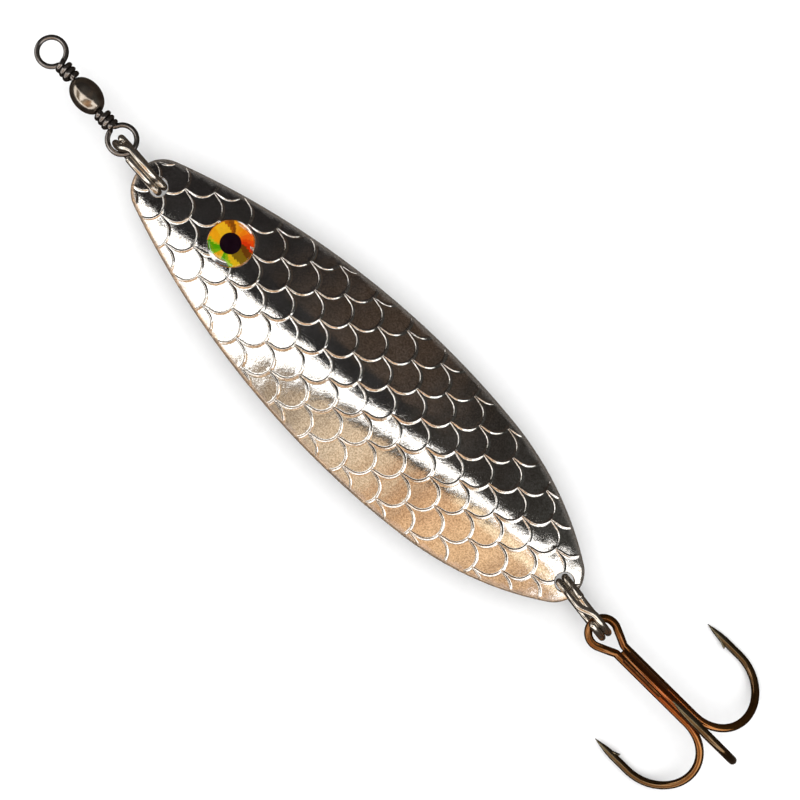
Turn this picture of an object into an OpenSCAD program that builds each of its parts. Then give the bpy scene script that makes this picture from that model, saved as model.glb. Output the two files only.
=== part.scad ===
// Spoon lure: a scaled metal blade with a barrel swivel on its head ring
// and a treble hook on its tail ring.
// The origin is the centre of the swivel's line eye, +X runs from head to tail
// along the blade, and +Z is up out of the blade's convex face.

/* [Blade] */
// Length of the blade, tip to tip
blade_l = 77; // [70:0.5:90]
// Greatest width of the blade
blade_w = 21.7; // [19:0.1:26]
// Thickness of the blade
blade_t = 1.1; // [0.9:0.1:1.5]
// How far the widest place lies behind the middle
belly_x = 4.25; // [0:0.25:8]
// Radius of the rounded head
head_r = 4.1; // [3.5:0.1:5]
// Radius of the rounded tail
tail_r = 3.9; // [3.5:0.1:5]
// Radius of the shoulder that draws the sides in to the tail
shoulder_r = 44; // [38:1:55]
// Radius of the blade's bow across its width
cross_r = 25.7; // [22:0.1:40]
// Radius of the blade's bow along its length
bow_r = 296; // [220:1:600]
// Distance from the head tip to the head hole
head_hole_inset = 3.4; // [3.2:0.1:4.6]
// Distance from the tail tip to the tail hole
tail_hole_inset = 2.1; // [2.1:0.1:3]
// Diameter of both holes
hole_d = 2.5; // [2.4:0.1:3]

/* [Eye] */
// Diameter of the stick-on eye
eye_d = 6; // [5:0.5:7]
// Distance from the head tip to the eye
eye_inset = 15.1; // [12:0.1:20]
// How far the eye sits to the side of the blade's axis
eye_side = 1.25; // [-2:0.05:2]
// Thickness of the clear dome over the iris
dome_t = 0.4; // [0.2:0.05:0.8]

/* [Split rings] */
// Diameter of the ring wire
ring_wire_d = 0.95; // [0.8:0.05:1]
// Outer diameter of the head ring
head_ring_d = 9; // [9:0.1:10.5]
// Outer diameter of the tail ring
tail_ring_d = 9.7; // [9:0.1:11]
// Angle over which the wire steps from one coil to the next
ring_step = 34; // [26:1:50]

/* [Swivel] */
// Diameter of the swivel wire
swivel_wire_d = 0.68; // [0.6:0.02:0.7]
// Outer diameter of each eye
swivel_eye_d = 4.4; // [4.3:0.1:5]
// Distance between the centres of the two eyes
swivel_span = 14.24; // [13.9:0.02:15.5]
// Diameter of the barrel
barrel_d = 3.8; // [3.6:0.1:4.4]
// Length of the barrel
barrel_l = 5; // [4.8:0.1:5.2]
// Turns that each eye's wire takes round its stem
wraps = 3; // [2:1:3]

/* [Treble hook] */
// Diameter of the hook wire
hook_wire_d = 1.06; // [0.9:0.02:1.1]
// Distance of each point from the shank's axis
hook_reach = 12; // [10.5:0.1:13]
// Distance from the centre of the eye to the centre of each bend
hook_shank = 15.6; // [14:0.1:20]
// Length of each point's straight leg
hook_leg = 5.8; // [5:0.1:8]
// Outer diameter of the hook's eye
hook_eye_d = 4.8; // [4.7:0.1:5]

/* [Pose] */
// How far the head ring turns sideways in its hole
head_ring_yaw = -5; // [-12:1:12]
// How far the swivel swings sideways on its ring
swivel_yaw = -7; // [-20:1:20]
// How far the tail ring turns sideways in its hole
tail_ring_yaw = -8; // [-12:1:12]
// Direction of the hook's shank, measured from the blade's axis
hook_yaw = -0.5; // [-15:0.5:15]
// Roll of the hook about its shank
hook_roll = -1; // [-4:0.5:4]

/* [Hidden] */
$fn = 64;
running = 0.05;

// Blade places, measured from the blade's middle.
side_r = side_arc_radius();
head_hole_x = head_hole_inset - blade_l / 2;
tail_hole_x = blade_l / 2 - tail_hole_inset;
eye_x = eye_inset - blade_l / 2;
crown_z = blade_t / 2 + pow((tail_hole_x - head_hole_x) / 2, 2) / (2 * bow_r);

// Eye layers, as heights above the blade's face.
pad_t = 0.15;
foil_t = 0.1;
foil_h = pad_t + foil_t;

// Ring and swivel places.
head_coil_r = (head_ring_d - ring_wire_d) / 2;
tail_coil_r = (tail_ring_d - ring_wire_d) / 2;
lane = ring_wire_d / 2 + 0.01;
// Each ring's foot hangs in its hole, off the hole's centre towards the blade's middle.
foot_slack = 0.35;
head_foot = [head_hole_x + foot_slack, 0, 0];
tail_foot = [tail_hole_x - foot_slack, 0, 0];
// Each eye hangs a little off the centre of its link, towards the blade and to the side.
lure_eye_slack = [0.15, 0.4, 0];
hook_eye_slack = [-0.3, 0, 0];
head_link = head_foot - 2 * head_coil_r * flat(head_ring_yaw);
lure_eye_at = head_link + lure_eye_slack;
line_eye_at = lure_eye_at - swivel_span * flat(swivel_yaw);
tail_link = tail_foot + 2 * tail_coil_r * flat(tail_ring_yaw);

// Swivel details.
stem_r = 0.45;
swivel_loop_r = (swivel_eye_d - swivel_wire_d) / 2;
wrap_pitch = swivel_wire_d + 0.02;
barrel_far = swivel_span / 2;
knob_r = 0.75;
knob_near = barrel_l / 2 - 0.7;
knob_t = 0.6;

// Hook details.
bundle_r = 0.8;
bend_r = (hook_reach - bundle_r) / 2;
hook_loop_r = (hook_eye_d - hook_wire_d) / 2;
flank_angle = 66.5;
shank_start = 4.1;
braze_l = 6.4;

// A level unit vector at an angle from +X.
function flat(angle) = [cos(angle), sin(angle), 0];

function unit(v) = v / norm(v);

function smooth(t) = let (c = max(0, min(1, t))) c * c * (3 - 2 * c);

// Radius of the long side arc that just touches the round head and the belly.
function side_arc_radius() =
    let (
        run = belly_x + blade_l / 2 - head_r,
        rise = blade_w / 2
    )
    (run * run + rise * rise - head_r * head_r) / (2 * (rise - head_r));

// Height of an arc above the blade's axis at x.
function arc_height(x, centre, radius) =
    let (d = x - centre[0]) sqrt(max(0, radius * radius - d * d)) + centre[1];

// Centre of the shoulder's arc, which touches both the side arc and the round tail.
function shoulder_centre() =
    let (
        tail = [blade_l / 2 - tail_r, 0],
        side = [belly_x, blade_w / 2 - side_r],
        to_side = side_r - shoulder_r,
        to_tail = shoulder_r - tail_r,
        gap = norm(tail - side),
        along = (to_side * to_side - to_tail * to_tail + gap * gap) / (2 * gap),
        away = sqrt(to_side * to_side - along * along),
        way = (tail - side) / gap
    )
    side + along * way + away * [-way[1], way[0]];

// Half the blade's width at x, from the head's arc, the side arc, the shoulder and the tail's arc.
function half_width(x) =
    let (
        head = [head_r - blade_l / 2, 0],
        side = [belly_x, blade_w / 2 - side_r],
        shoulder = shoulder_centre(),
        tail = [blade_l / 2 - tail_r, 0],
        head_touch = head[0] + (head - side)[0] / norm(head - side) * head_r,
        side_touch = side[0] + (shoulder - side)[0] / norm(shoulder - side) * side_r,
        tail_touch = tail[0] + (tail - shoulder)[0] / norm(tail - shoulder) * tail_r
    )
    x < head_touch ? arc_height(x, head, head_r)
    : x < side_touch ? arc_height(x, side, side_r)
    : x < tail_touch ? arc_height(x, shoulder, shoulder_r)
    : arc_height(x, tail, tail_r);

// Direction of a path at point i.
function heading(path, i) =
    unit(path[min(i + 1, len(path) - 1)] - path[max(i - 1, 0)]);

function square_to(v, t) = unit(v - (v * t) * t);

// One side direction per point, carried along a path without twisting.
function side_vectors(path, first) = [
    for (
        i = 0, s = square_to(first, heading(path, 0));
        i < len(path);
        i = i + 1, s = i < len(path) ? square_to(s, heading(path, i)) : s
    ) s
];

// A round wire along a path, with one radius per point.
module wire(path, radii, first = [0, 0, 1], facets = 14) {
    s = side_vectors(path, first);
    count = len(path);
    points = [
        for (i = [0 : count - 1])
            let (c = cross(heading(path, i), s[i]))
            for (k = [0 : facets - 1])
                let (a = 360 * k / facets)
                path[i] + radii[i] * (cos(a) * s[i] + sin(a) * c)
    ];
    sides = [
        for (i = [0 : count - 2], k = [0 : facets - 1])
            let (
                n = (k + 1) % facets,
                a = i * facets + k,
                b = i * facets + n
            )
            each [[a, a + facets, b + facets], [a, b + facets, b]]
    ];
    first_cap = [[for (k = [0 : facets - 1]) k]];
    last_cap = [[for (k = [facets - 1 : -1 : 0]) (count - 1) * facets + k]];
    polyhedron(points, concat(sides, first_cap, last_cap));
}

function even_radii(path, d) = [for (p = path) d / 2];

// Moves a part drawn about the blade's middle into the shared frame.
module in_frame() {
    translate(-line_eye_at) children();
}

// The bowed layer between two heights above the blade's convex face.
module crown_layer(low, high) {
    sweep = 2 * asin(0.6 * blade_l / bow_r);
    translate([0, 0, crown_z - bow_r])
        rotate([0, -90, -90])
            rotate([0, 0, -sweep / 2])
                rotate_extrude(angle = sweep, $fn = 720)
                    intersection() {
                        translate([bow_r - cross_r, 0])
                            difference() {
                                circle(cross_r + high, $fn = 360);
                                circle(cross_r + low, $fn = 360);
                            }
                        translate([bow_r - cross_r / 2, -0.6 * blade_w])
                            square([cross_r, 1.2 * blade_w]);
                    }
}

module blade_outline() {
    steps = 64;
    // Points gather at the two ends, where the outline turns fastest.
    xs = [for (i = [0 : steps]) -cos(180 * i / steps) * blade_l / 2];
    upper = [for (x = xs) [x, half_width(x)]];
    lower = [for (i = [steps - 1 : -1 : 1]) [xs[i], -half_width(xs[i])]];
    polygon(concat(upper, lower));
}

module blade() {
    color("silver")
        in_frame()
            difference() {
                intersection() {
                    crown_layer(-blade_t, 0);
                    translate([0, 0, -10]) linear_extrude(20) blade_outline();
                }
                for (x = [head_hole_x, tail_hole_x])
                    translate([x, 0, -10]) cylinder(d = hole_d, h = 20);
            }
}

// Stands its children on the blade's face at the eye, square to the face.
module at_eye() {
    face_z = crown_z - eye_x * eye_x / (2 * bow_r) - eye_side * eye_side / (2 * cross_r);
    n = unit([eye_x / bow_r, eye_side / cross_r, 1]);
    translate([eye_x, eye_side, face_z])
        rotate([-asin(n[1]), atan2(n[0], n[2]), 0])
            children();
}

// A round piece of the layer between two heights, under the eye's outline.
module eye_layer(d, low, high) {
    in_frame()
        intersection() {
            crown_layer(low, high);
            at_eye() translate([0, 0, -2]) cylinder(d = d, h = 5);
        }
}

module eye_pad() {
    color("white") eye_layer(eye_d - 0.1, 0, pad_t);
}

module eye_foil() {
    color("orange") eye_layer(eye_d, pad_t, foil_h);
}

module eye_dome() {
    color("khaki", 0.4) eye_layer(eye_d, foil_h, foil_h + dome_t);
}

// A split ring stands in the XZ plane. The hole side is at -X, and the wire makes two
// turns side by side, stepping across at the angle step_at.
function split_path(coil_r, step_at) =
    let (
        turn = 9,
        gap = 5,
        last = 720 - ring_step - 2 * gap
    )
    [
        for (t = [0 : turn : last + turn - 0.01])
            let (
                sweep = gap + min(t, last),
                angle = step_at - ring_step / 2 - sweep,
                across = smooth((sweep - 360 + ring_step) / ring_step)
            )
            [coil_r * cos(angle), lane * (2 * across - 1), coil_r * sin(angle)]
    ];

module split_ring(coil_r, step_at) {
    path = split_path(coil_r, step_at);
    wire(path, even_radii(path, ring_wire_d), [0, 1, 0]);
}

module head_split_ring() {
    color("gainsboro")
        in_frame()
            translate(head_foot)
                rotate([0, 0, 180 + head_ring_yaw])
                    translate([head_coil_r, 0, 0])
                        split_ring(head_coil_r, 55);
}

module tail_split_ring() {
    color("gainsboro")
        in_frame()
            translate(tail_foot)
                rotate([0, 0, tail_ring_yaw])
                    translate([tail_coil_r, 0, 0])
                        split_ring(tail_coil_r, 90);
}

// The wire's turns round the stem, from the loop towards the barrel.
function wrap_path() =
    let (turn = 24, wrap_r = stem_r + swivel_wire_d / 2 - 0.03)
    [
        for (a = [0 : turn : 360 * wraps])
            [
                swivel_loop_r + 0.3 + wrap_pitch * a / 360,
                wrap_r * cos(a),
                wrap_r * sin(a)
            ]
    ];

// An eye with its centre at the origin and its stem along +X, ending in a knob in the barrel.
module swivel_eye() {
    path = wrap_path();
    knob_x = barrel_far - knob_near;
    rotate_extrude()
        translate([swivel_loop_r, 0]) circle(d = swivel_wire_d, $fn = 24);
    wire(path, even_radii(path, swivel_wire_d), [1, 0, 0], 12);
    translate([swivel_loop_r, 0, 0])
        rotate([0, 90, 0])
            cylinder(r = stem_r, h = knob_x + knob_t / 2 - swivel_loop_r, $fn = 32);
    translate([knob_x, 0, 0])
        rotate([0, 90, 0]) cylinder(r = knob_r, h = knob_t, $fn = 32);
}

module swivel_lure_eye() {
    color("dimgray")
        in_frame()
            translate(lure_eye_at) rotate([0, 0, 180 + swivel_yaw]) swivel_eye();
}

module swivel_line_eye() {
    color("dimgray") rotate([0, 0, swivel_yaw]) swivel_eye();
}

// Half of an oval's outline, cut square at both ends.
function oval(half_l, r, end) =
    let (steps = 24, lim = asin(end / half_l))
    [
        for (i = [0 : steps])
            let (a = lim * (2 * i / steps - 1))
            [r * cos(a), half_l * sin(a)]
    ];

module swivel_barrel() {
    half = barrel_l / 2;
    inner = half - 0.6;
    shell = oval(half * 1.1, barrel_d / 2, half);
    hollow = oval(inner * 1.17, barrel_d / 2 - 0.35, inner);
    color("darkslategray")
        rotate([0, 0, swivel_yaw])
            translate([barrel_far, 0, 0])
                rotate([0, 90, 0])
                    difference() {
                        rotate_extrude() polygon(concat([[0, -half]], shell, [[0, half]]));
                        rotate_extrude() polygon(concat([[0, -inner]], hollow, [[0, inner]]));
                        translate([0, 0, -half - 1])
                            cylinder(r = stem_r + running, h = barrel_l + 2, $fn = 32);
                    }
}

// One hook as distances along the shank and out from its axis, from the point to the shank.
function hook_profile() =
    let (bend_out = bundle_r + bend_r)
    concat(
        [for (x = [0, 0.7, 1.4, 2.1, 2.8, 4.2]) [hook_shank - hook_leg + x, hook_reach]],
        [
            for (a = [90 : -12 : -90])
                [hook_shank + bend_r * cos(a), bend_out + bend_r * sin(a)]
        ]
    );

function hook_arm(angle) = [
    for (p = hook_profile()) [p[0], p[1] * cos(angle), p[1] * sin(angle)]
];

// Radii that taper over the first points of an arm, down to a sharp point.
function hook_taper(count) = [
    for (i = [0 : count - 1]) hook_wire_d / 2 * min(1, 0.08 + 0.92 * sin(min(90, 22.5 * i)))
];

function reversed(list) = [for (i = [len(list) - 1 : -1 : 0]) list[i]];

// The eye's flat loop and its two flanks, which drop into the bundle of shanks.
function hook_eye_path() =
    let (
        side_y = bundle_r * cos(30),
        drop = -bundle_r * sin(30),
        touch = hook_loop_r * flat(flank_angle),
        run = shank_start - 1 - touch[0]
    )
    concat(
        [[shank_start, side_y, drop]],
        [
            for (t = [1 : -0.2 : 0.1])
                [
                    touch[0] + run * t,
                    touch[1] + (side_y - touch[1]) * t,
                    drop * smooth(1.3 * t - 0.4)
                ]
        ],
        [for (a = [flank_angle : 13 : 180]) hook_loop_r * flat(a)]
    );

function mirrored(path) = [for (p = path) [p[0], -p[1], p[2]]];

// The barb is a thin spur on the inner side of a point, leaning back towards the bend.
module barb(angle) {
    root = hook_reach - 0.25;
    start = hook_shank - hook_leg + 2.2;
    rotate([angle, 0, 0])
        translate([0, 0, -0.13])
            linear_extrude(0.26)
                polygon([
                    [start, root],
                    [start, root - 0.1],
                    [start + 1.35, root - 0.75],
                    [start + 1.15, root - 0.2],
                    [start + 1.15, root]
                ]);
}

module on_tail_ring() {
    in_frame()
        translate(tail_link)
            rotate([0, 0, hook_yaw])
                translate(hook_eye_slack)
                    rotate([hook_roll, 0, 0])
                        children();
}

module treble_double_hook() {
    arm = hook_arm(-30);
    eye = hook_eye_path();
    half = concat(arm, eye);
    path = concat(half, reversed(mirrored([for (i = [0 : len(half) - 2]) half[i]])));
    taper = hook_taper(len(half));
    radii = concat(taper, reversed([for (i = [0 : len(half) - 2]) taper[i]]));
    color("saddlebrown")
        on_tail_ring() {
            wire(path, radii, [0, 1, 0]);
            barb(-30);
            barb(210);
        }
}

module treble_single_hook() {
    path = concat(hook_arm(90), [[shank_start - 0.8, 0, bundle_r]]);
    color("saddlebrown")
        on_tail_ring() {
            wire(path, hook_taper(len(path)), [0, 1, 0]);
            barb(90);
        }
}

module treble_braze() {
    color("goldenrod")
        on_tail_ring()
            rotate([0, 90, 0])
                difference() {
                    translate([0, 0, shank_start + 0.2]) cylinder(r = 0.88, h = braze_l);
                    for (angle = [-30, 90, 210])
                        rotate([0, 0, angle])
                            translate([0, bundle_r, 0]) cylinder(d = hook_wire_d, h = 20);
                }
}

blade();
eye_pad();
eye_foil();
eye_dome();
head_split_ring();
swivel_lure_eye();
swivel_barrel();
swivel_line_eye();
tail_split_ring();
treble_double_hook();
treble_single_hook();
treble_braze();
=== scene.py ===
"""Looks for the spoon lure: a scaled blade, its stick-on eye, two split rings, a barrel swivel
and a treble hook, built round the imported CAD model. Lengths are millimetres until a mesh is made."""

import math

import bpy
import numpy as np
from mathutils import Matrix, Vector
from mathutils.geometry import delaunay_2d_cdt


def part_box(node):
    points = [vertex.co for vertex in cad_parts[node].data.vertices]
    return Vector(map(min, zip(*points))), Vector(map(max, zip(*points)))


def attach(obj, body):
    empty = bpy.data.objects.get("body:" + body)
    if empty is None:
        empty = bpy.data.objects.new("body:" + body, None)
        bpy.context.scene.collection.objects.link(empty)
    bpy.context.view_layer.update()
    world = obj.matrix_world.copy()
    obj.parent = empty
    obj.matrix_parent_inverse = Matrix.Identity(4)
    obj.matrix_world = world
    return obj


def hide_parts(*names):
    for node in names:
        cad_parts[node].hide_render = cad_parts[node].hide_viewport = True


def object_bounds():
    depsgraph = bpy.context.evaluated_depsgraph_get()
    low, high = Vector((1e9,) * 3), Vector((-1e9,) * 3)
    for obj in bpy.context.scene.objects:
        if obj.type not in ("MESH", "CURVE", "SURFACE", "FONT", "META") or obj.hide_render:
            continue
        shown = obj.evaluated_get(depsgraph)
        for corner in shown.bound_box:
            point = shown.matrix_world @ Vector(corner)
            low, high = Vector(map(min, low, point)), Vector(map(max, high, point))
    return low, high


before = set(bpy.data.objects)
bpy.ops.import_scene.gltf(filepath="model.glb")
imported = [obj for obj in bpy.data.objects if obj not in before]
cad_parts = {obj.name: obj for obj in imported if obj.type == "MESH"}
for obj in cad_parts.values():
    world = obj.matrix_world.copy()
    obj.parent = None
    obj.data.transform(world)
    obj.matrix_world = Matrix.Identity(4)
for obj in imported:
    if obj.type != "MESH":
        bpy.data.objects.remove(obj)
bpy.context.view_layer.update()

MM = 0.001
MICRON = 0.000001

# Blade
BLADE_L, BLADE_W, BLADE_T = 77.0, 21.7, 1.1
BELLY_X = 4.25
HEAD_R, TAIL_R, SHOULDER_R = 4.1, 3.9, 44.0
CROSS_R, BOW_R = 25.7, 296.0
HEAD_HOLE_X, TAIL_HOLE_X = 3.4 - BLADE_L / 2, BLADE_L / 2 - 2.1
HOLE_R = 1.25
TOP_EDGE_R, UNDER_EDGE_R, HOLE_EDGE_R = 0.45, 0.25, 0.12
FACE_DROP = 0.06
# Brass at the rim: the worn band's width and ease, and the upper side's share; the lower side's fuller
# brass is a painted warm reflection
RIM_WEAR_W, RIM_WEAR_EASE, UPPER_RIM_SHARE = 0.62, 0.3, 0.25

# Stamped scales: rows along the blade, each shifted by half a pitch
SCALE_R = 1.99
SCALE_PITCH = 4.5
ROW_STEP = 2.96
FIRST_ROW_X = -1.99
SCALE_END = math.radians(112)
FLARE_FROM = math.radians(80)
FLARE = 0.36
RIDGE_H = 0.10
RIDGE_INNER_W, RIDGE_OUTER_W = 0.07, 0.165
PILLOW_H, PILLOW_W = 0.02, 0.9

# Meshing of the blade: spacing along its edges and ridges, and of the points between them
EDGE_SPACING, RIDGE_SPACING = 0.16, 0.13
TOP_GRID, UNDER_GRID = 0.55, 1.0
HOLE_FACETS = 72

# Eye
EYE_X, EYE_Y = 15.1 - BLADE_L / 2, 1.25
EYE_R, PUPIL_R = 3.0, 1.38
PAD_T, FOIL_T, DOME_T = 0.15, 0.1, 0.4

# Split rings: the wire steps to its other lane over RING_STEP degrees, each of its ends stops
# RING_GAP degrees short of the step, and each ring's foot hangs FOOT_SLACK off its hole's centre
RING_WIRE_R = 0.475
RING_END_SHARE = 0.86
HEAD_COIL_R, TAIL_COIL_R = 4.025, 4.375
LANE = RING_WIRE_R + 0.01
RING_STEP, RING_GAP = 34.0, 5.0
HEAD_STEP_AT, TAIL_STEP_AT = 55, 90
FOOT_SLACK = 0.35
HEAD_RING_YAW, TAIL_RING_YAW = -5.0, -8.0

# Swivel: its span runs from eye to eye, and its wraps bite into the stem
SWIVEL_SPAN = 14.24
SWIVEL_WIRE_R = 0.34
SWIVEL_LOOP_R = 1.86
STEM_R, STEM_REACH = 0.45, 0.6
WRAPS, WRAP_GAP, WRAP_BITE = 3, 0.02, 0.03
BARREL_L, BARREL_R = 5.0, 1.9
BARREL_TAPER = 0.8476
SWIVEL_YAW = -7.0
LURE_EYE_SLACK = [0.15, 0.4, 0]

# Treble hook: its reach is from the axis to a point, and its lacquer changes tone over LACQUER_L
HOOK_WIRE_R = 0.53
HOOK_REACH, HOOK_SHANK, HOOK_LEG = 12.0, 15.6, 5.8
HOOK_LOOP_R, FLANK_ANGLE = 1.87, 66.5
BUNDLE_R = 0.8
SHANK_START, SINGLE_START = 4.1, 3.3
ARM_RIGHT, ARM_TOP, ARM_LEFT = -30, 90, 210
POINT_L, TIP_SHARE = 3.4, 0.06
BARB_AT, BARB_ROOT, BARB_HALF_T = 2.3, 0.32, 0.17
LACQUER_L, BARB_TONE = 34.0, 0.95
HOOK_YAW, HOOK_ROLL = -0.5, -1.0
HOOK_EYE_SLACK = -0.3

# Camera, above a point measured from the blade's middle
CAMERA_X, CAMERA_Y, CAMERA_H = 5.5, 2.0, 250.0
CAMERA_LENS, CAMERA_TURN = 89.0, 44.2

# Places in the shared frame, worked out as in the CAD model
CROWN_Z = BLADE_T / 2 + ((TAIL_HOLE_X - HEAD_HOLE_X) / 2) ** 2 / (2 * BOW_R)


def flat(angle):
    """A level unit vector at an angle in degrees from +X."""
    a = math.radians(angle)
    return np.array([math.cos(a), math.sin(a), 0.0])


def blade_middle():
    """Where the blade's middle lies in the shared frame, level with the rings' centres."""
    low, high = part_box("blade")
    return np.array([(low.x + high.x) / 2, (low.y + high.y) / 2, 0.0]) / MM


MIDDLE = blade_middle()
HEAD_RING_AT = MIDDLE + [HEAD_HOLE_X + FOOT_SLACK, 0, 0] - HEAD_COIL_R * flat(HEAD_RING_YAW)
LURE_EYE_AT = HEAD_RING_AT - HEAD_COIL_R * flat(HEAD_RING_YAW) + LURE_EYE_SLACK
TAIL_RING_AT = MIDDLE + [TAIL_HOLE_X - FOOT_SLACK, 0, 0] + TAIL_COIL_R * flat(TAIL_RING_YAW)
HOOK_EYE_AT = TAIL_RING_AT + TAIL_COIL_R * flat(TAIL_RING_YAW) + HOOK_EYE_SLACK * flat(HOOK_YAW)


def smooth(t):
    """An even ease from 0 to 1 as t goes from 0 to 1."""
    c = np.clip(t, 0, 1)
    return c * c * (3 - 2 * c)


# -------- mesh helpers


def new_piece(name, points, faces, body, surface, normals=None, attributes=None):
    """A mesh piece from points in millimetres, shaded smooth, that rides on a CAD body."""
    mesh = bpy.data.meshes.new(name)
    mesh.from_pydata((np.asarray(points) * MM).tolist(), [], faces)
    mesh.polygons.foreach_set("use_smooth", [True] * len(mesh.polygons))
    for key, values in (attributes or {}).items():
        values = np.asarray(values, float)
        kind = "FLOAT" if values.ndim == 1 else "FLOAT_VECTOR"
        layer = mesh.attributes.new(key, kind, "POINT")
        layer.data.foreach_set("value" if values.ndim == 1 else "vector", values.ravel())
    mesh.materials.append(surface)
    mesh.update()
    if normals is not None:
        mesh.normals_split_custom_set_from_vertices(normals.tolist())
    piece = bpy.data.objects.new(name, mesh)
    bpy.context.scene.collection.objects.link(piece)
    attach(piece, body)
    return piece


def turned(points, yaw, roll, at):
    """Points rolled about +X, then turned about +Z, then moved."""
    turn = Matrix.Rotation(math.radians(yaw), 3, "Z") @ Matrix.Rotation(math.radians(roll), 3, "X")
    return np.asarray(points) @ np.array(turn).T + np.asarray(at)


def unit_rows(v):
    """Each row scaled to length one."""
    return v / np.linalg.norm(v, axis=-1, keepdims=True)


def length_along(path):
    """Distance along a path to each of its points."""
    return np.concatenate([[0], np.cumsum(np.linalg.norm(np.diff(path, axis=0), axis=1))])


def ring_quads(rings, facets):
    """Quads between rings of points that are numbered one ring after another."""
    quads = []
    for i in range(rings - 1):
        for k in range(facets):
            n = (k + 1) % facets
            a, b = i * facets, (i + 1) * facets
            quads.append((a + k, a + n, b + n, b + k))
    return quads


def sweep(path, radii, first, facets):
    """Points, faces and wire attributes of a round wire along a path, closed at both ends."""
    path = np.asarray(path, float)
    radii = np.broadcast_to(radii, len(path))
    heading = unit_rows(np.gradient(path, axis=0))
    side = np.array(first, float)
    rings, grain = [], []
    along = length_along(path)
    angles = np.arange(facets) * 2 * math.pi / facets
    for i, t in enumerate(heading):
        side = side - side.dot(t) * t
        side = side / np.linalg.norm(side)
        other = np.cross(t, side)
        ring = np.outer(np.cos(angles), side) + np.outer(np.sin(angles), other)
        rings.append(path[i] + radii[i] * ring)
        grain.append(np.stack([np.cos(angles), np.sin(angles), 0 * angles + along[i]], 1))
    points = np.concatenate(rings)
    last = len(points) - facets
    faces = [(a, d, c, b) for a, b, c, d in ring_quads(len(path), facets)]
    faces.append(tuple(range(facets)))
    faces.append(tuple(last + k for k in reversed(range(facets))))
    return points, faces, {"grain": np.concatenate(grain)}


def lathe(profile, facets):
    """Points and faces of a profile of (x, radius) turned about +X, closed at both ends."""
    angles = np.arange(facets) * 2 * math.pi / facets
    points = [(x, r * math.cos(a), r * math.sin(a)) for x, r in profile for a in angles]
    last = len(points) - facets
    faces = ring_quads(len(profile), facets)
    faces.append(tuple(reversed(range(facets))))
    faces.append(tuple(last + k for k in range(facets)))
    return np.array(points), faces


def bezier(a, b, c, d, steps):
    """Points on a cubic curve from a to d, without the last one."""
    t = np.linspace(0, 1, steps, endpoint=False)[:, None]
    a, b, c, d = (np.asarray(p, float) for p in (a, b, c, d))
    return (1 - t) ** 3 * a + 3 * (1 - t) ** 2 * t * b + 3 * (1 - t) * t * t * c + t**3 * d


# -------- material helpers


def material(name):
    """A new node material: its tree and its Principled shader."""
    m = bpy.data.materials.new(name)
    m.use_nodes = True
    return m, m.node_tree, m.node_tree.nodes["Principled BSDF"]


def link(tree, source, target):
    """Joins one socket to another."""
    tree.links.new(source, target)


def add_node(tree, kind, **settings):
    """A new node with its properties, and its inputs by name, set."""
    n = tree.nodes.new(kind)
    for key, value in settings.items():
        if hasattr(n, key):
            setattr(n, key, value)
        else:
            n.inputs[key.replace("_", " ")].default_value = value
    return n


def object_coords(tree):
    """Places in the piece's own frame, in metres."""
    return add_node(tree, "ShaderNodeTexCoord").outputs["Object"]


def attribute(tree, name):
    """The node that reads one of the mesh's attributes."""
    return add_node(tree, "ShaderNodeAttribute", attribute_name=name)


def stretched(tree, vector, scale):
    """The vector times a scale per axis."""
    n = add_node(tree, "ShaderNodeMapping")
    n.inputs["Scale"].default_value = scale
    link(tree, vector, n.inputs["Vector"])
    return n.outputs["Vector"]


def noise(tree, vector, scale, detail=4.0, roughness=0.55):
    """Cloudy values from 0 to 1, with scale clouds to each unit of the vector."""
    n = add_node(tree, "ShaderNodeTexNoise", Scale=scale, Detail=detail, Roughness=roughness)
    link(tree, vector, n.inputs["Vector"])
    return n.outputs["Fac"]


def ramp(tree, value, stops):
    """A colour ramp over (place, colour) stops."""
    n = add_node(tree, "ShaderNodeValToRGB")
    points = n.color_ramp.elements
    while len(points) < len(stops):
        points.new(0.5)
    for point, (place, colour) in zip(points, stops):
        point.position = place
        point.color = (*colour, 1)
    link(tree, value, n.inputs["Fac"])
    return n.outputs["Color"]


def mix(tree, factor, a, b, blend="MIX"):
    """A mix of two colours, each a socket or a plain colour, by a factor, a socket or a number."""
    n = add_node(tree, "ShaderNodeMix", data_type="RGBA", blend_type=blend)
    # The node's colour sockets are the seventh and eighth
    for socket, value in zip((n.inputs[0], n.inputs[6], n.inputs[7]), (factor, a, b)):
        if isinstance(value, bpy.types.NodeSocket):
            link(tree, value, socket)
        elif isinstance(value, (int, float)):
            socket.default_value = value
        else:
            socket.default_value = (*value, 1)
    return n.outputs[2]


def math_node(tree, operation, a, b=0.0):
    """The result of one sum on a and b; each is a socket or a number."""
    n = add_node(tree, "ShaderNodeMath", operation=operation)
    for socket, value in zip(n.inputs, (a, b)):
        if isinstance(value, bpy.types.NodeSocket):
            link(tree, value, socket)
        else:
            socket.default_value = value
    return n.outputs[0]


def spread(tree, value, low, high):
    """The 0 to 1 value spread over low to high."""
    n = add_node(tree, "ShaderNodeMapRange")
    n.inputs["To Min"].default_value = low
    n.inputs["To Max"].default_value = high
    link(tree, value, n.inputs["Value"])
    return n.outputs[0]


def bump(tree, height, distance, under=None):
    """Normals tilted by a height map that is distance metres deep, over another bump if given."""
    n = add_node(tree, "ShaderNodeBump", Strength=1.0, Distance=distance)
    link(tree, height, n.inputs["Height"])
    if under is not None:
        link(tree, under, n.inputs["Normal"])
    return n.outputs["Normal"]


# -------- materials


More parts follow.
